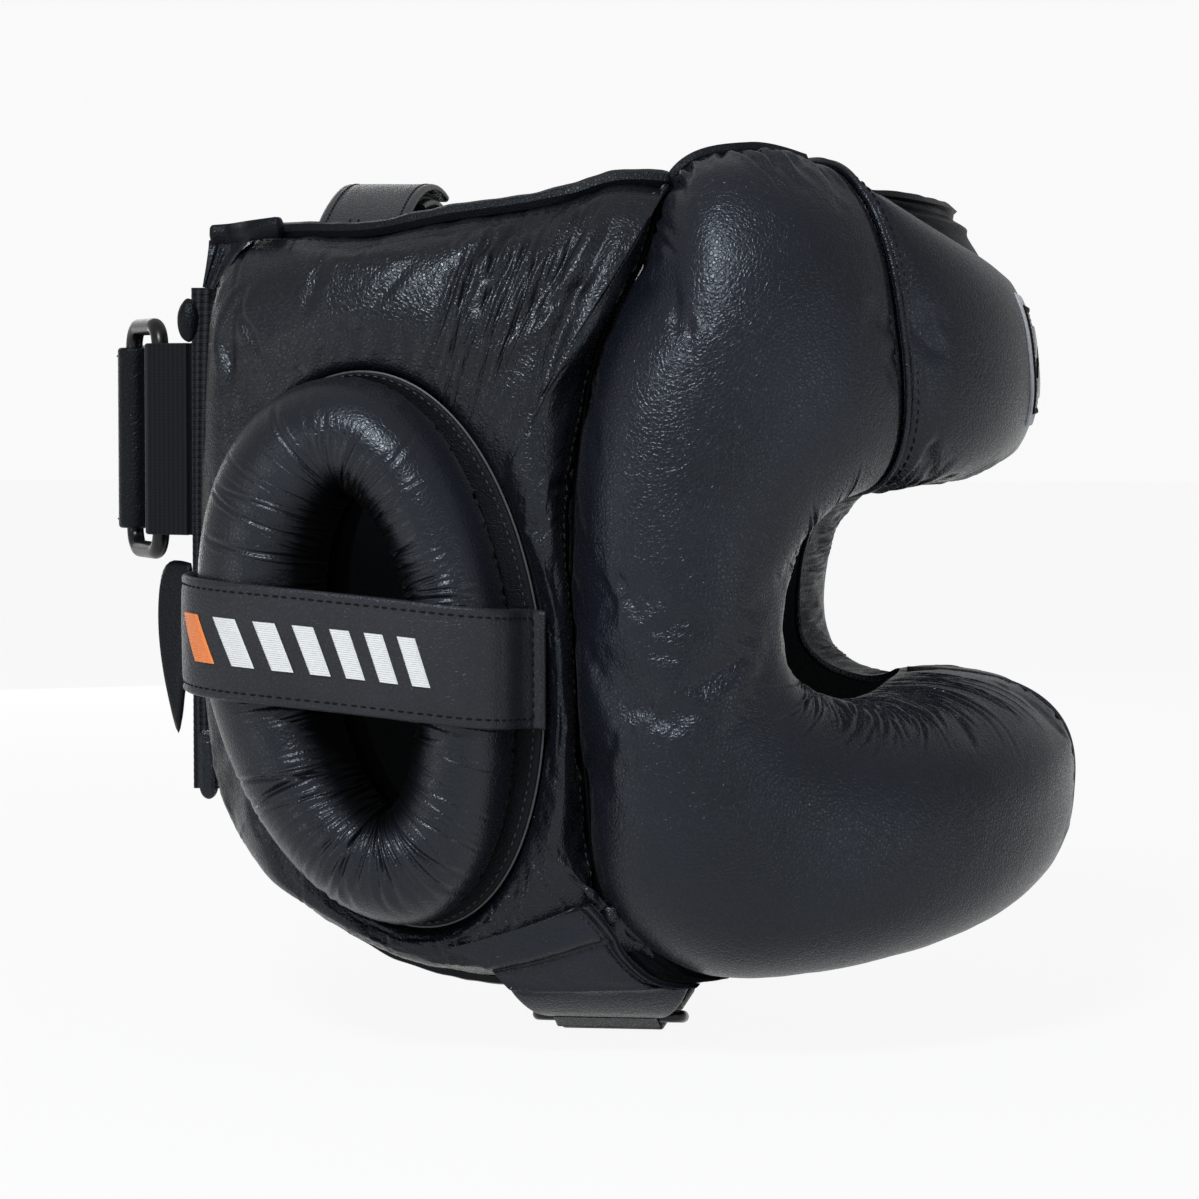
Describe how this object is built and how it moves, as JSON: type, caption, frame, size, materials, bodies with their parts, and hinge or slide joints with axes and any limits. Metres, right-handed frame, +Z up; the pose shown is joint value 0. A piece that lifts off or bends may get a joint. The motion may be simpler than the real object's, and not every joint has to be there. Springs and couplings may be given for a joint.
{
  "type": "boxing headguard",
  "caption": "Full-face boxing headguard in black leather with a padded face bar, forehead and ear rings, and ring-and-strap closures at the nape and chin",
  "frame": {"origin": "middle of the base of the bounding box, under the chin strap", "axes": "+X forwards, the way the wearer looks; +Y to the wearer's left; +Z up"},
  "size_m": [0.2901, 0.249, 0.2535],
  "materials": {
    "leather_outer": "soft satin sheen on a fine pebbled grain, near black with a blue cast",
    "leather_trim": "smooth folded leather, near black, satin",
    "leather_lining": "soft matt lining leather, near black",
    "padding_foam": "matt closed-cell foam, unseen inside the leather",
    "ribbed_webbing": "matt black elastic webbing with a ribbed weave",
    "hook_and_loop": "matt black hook-and-loop tape",
    "black_plastic": "glossy moulded black plastic",
    "embroidered_patch": "plain embroidered patch, light grey thread with a black border"
  },
  "bodies": {
    "shell": {"forehead_cover": "leather_outer", "face_bar_cover_right": "leather_outer", "face_bar_cover_left": "leather_outer", "side_cover_right": "leather_outer", "side_cover_left": "leather_outer", "ear_ring_cover_right": "leather_outer", "ear_ring_cover_left": "leather_outer", "ear_band_right": "leather_outer", "ear_band_left": "leather_outer", "leaf_tab_right": "leather_outer", "leaf_tab_left": "leather_outer", "crown_strap_right": "leather_outer", "crown_strap_left": "leather_outer", "chin_flap_right": "leather_outer", "chin_flap_left": "leather_outer", "rear_strap": "leather_outer", "chin_strap": "leather_outer", "chin_keeper": "leather_outer", "face_bar_welt": "leather_trim", "temple_welt_right": "leather_trim", "temple_welt_left": "leather_trim", "cheek_welt_right": "leather_trim", "cheek_welt_left": "leather_trim", "top_binding_right": "leather_trim", "top_binding_left": "leather_trim", "neck_binding_right": "leather_trim", "neck_binding_left": "leather_trim", "forehead_lining": "leather_lining", "face_bar_lining_right": "leather_lining", "face_bar_lining_left": "leather_lining", "side_lining_right": "leather_lining", "side_lining_left": "leather_lining", "forehead_foam": "padding_foam", "face_bar_foam_right": "padding_foam", "face_bar_foam_left": "padding_foam", "side_foam_right": "padding_foam", "side_foam_left": "padding_foam", "ear_ring_foam_right": "padding_foam", "ear_ring_foam_left": "padding_foam", "rear_webbing_right": "ribbed_webbing", "rear_webbing_left": "ribbed_webbing", "ring_keeper": "ribbed_webbing", "rear_loop_patch": "hook_and_loop", "crown_loop_patch": "hook_and_loop", "crown_hook_patch": "hook_and_loop", "chin_loop_patch": "hook_and_loop", "forehead_badge": "embroidered_patch"},
    "rear_ring": {"rear_ring": "black_plastic"},
    "rear_tail": {"rear_strap_tail": "leather_outer", "rear_hook_patch": "hook_and_loop"},
    "chin_ring": {"chin_ring": "black_plastic"},
    "chin_tail": {"chin_strap_tail": "leather_outer", "chin_hook_patch": "hook_and_loop"}
  },
  "joints": [
    {"name": "rear_ring_swing", "type": "hinge", "parent": "shell", "child": "rear_ring", "pos_m": [-0.123, -0.0395, 0.173], "axis": [0, 0, 1], "range_deg": [0, 25]},
    {"name": "rear_tail_peel", "type": "hinge", "parent": "rear_ring", "child": "rear_tail", "pos_m": [-0.13662, -0.01504, 0.173], "axis": [0, 0, 1], "range_deg": [0, 135]},
    {"name": "chin_ring_swing", "type": "hinge", "parent": "shell", "child": "chin_ring", "pos_m": [0.01, -0.044, 0.00596], "axis": [-1, 0, 0], "range_deg": [0, 20]},
    {"name": "chin_tail_peel", "type": "hinge", "parent": "chin_ring", "child": "chin_tail", "pos_m": [0.01, -0.032, 0.00396], "axis": [-1, 0, 0], "range_deg": [0, 120]}
  ]
}
